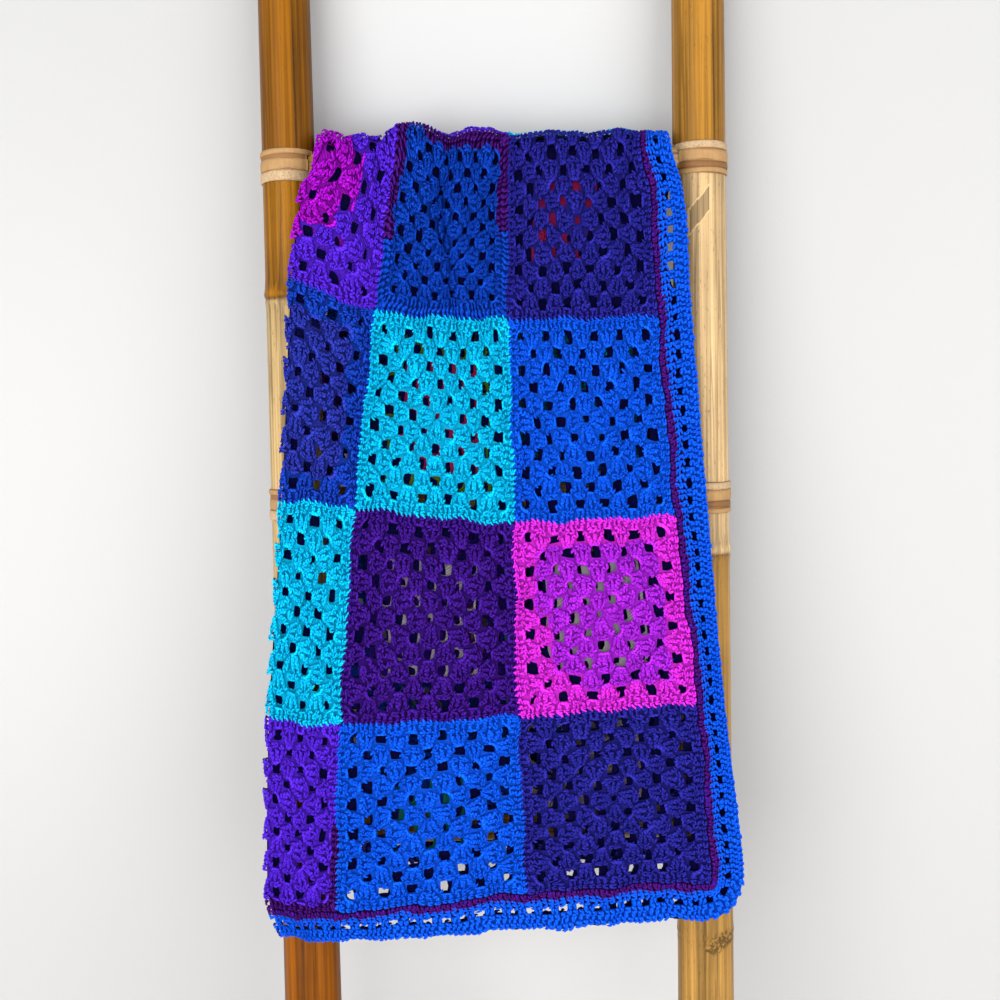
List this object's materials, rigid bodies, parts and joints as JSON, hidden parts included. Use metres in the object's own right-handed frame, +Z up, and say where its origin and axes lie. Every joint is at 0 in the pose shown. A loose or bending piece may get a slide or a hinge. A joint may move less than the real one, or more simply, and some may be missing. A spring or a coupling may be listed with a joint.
{
  "type": "granny square blanket on bamboo ladder",
  "caption": "Crocheted granny square blanket with an openwork edging, folded double down its length and draped over the top rung of a leaning bamboo blanket ladder.",
  "frame": {"origin": "on the floor, under the middle of the whole object's box", "axes": "+Z up, +X along the rungs to the right as seen from the front, +Y towards the wall that the ladder leans on"},
  "size_m": [0.413, 0.2552, 1.6899],
  "materials": {
    "square_yarn": "crocheted yarn in blues, purples, cyan and pink",
    "edging_yarn": "crocheted yarn, royal blue over a dark maroon round",
    "bamboo_pole": "smooth glossy bamboo skin, honey and straw coloured",
    "bamboo_rung": "satin bamboo",
    "cane_wrap": "flat pale cane, wrapped in turns"
  },
  "bodies": {
    "root": {"edging": "edging_yarn", "joined_squares": "square_yarn", "rail_left": "bamboo_pole", "rail_right": "bamboo_pole", "rung_1": "bamboo_rung", "rung_2": "bamboo_rung", "rung_3": "bamboo_rung", "rung_4": "bamboo_rung", "rung_5": "bamboo_rung", "wrap_left_1": "cane_wrap", "wrap_left_2": "cane_wrap", "wrap_left_3": "cane_wrap", "wrap_left_4": "cane_wrap", "wrap_left_5": "cane_wrap", "wrap_right_1": "cane_wrap", "wrap_right_2": "cane_wrap", "wrap_right_3": "cane_wrap", "wrap_right_4": "cane_wrap", "wrap_right_5": "cane_wrap"}
  },
  "joints": []
}
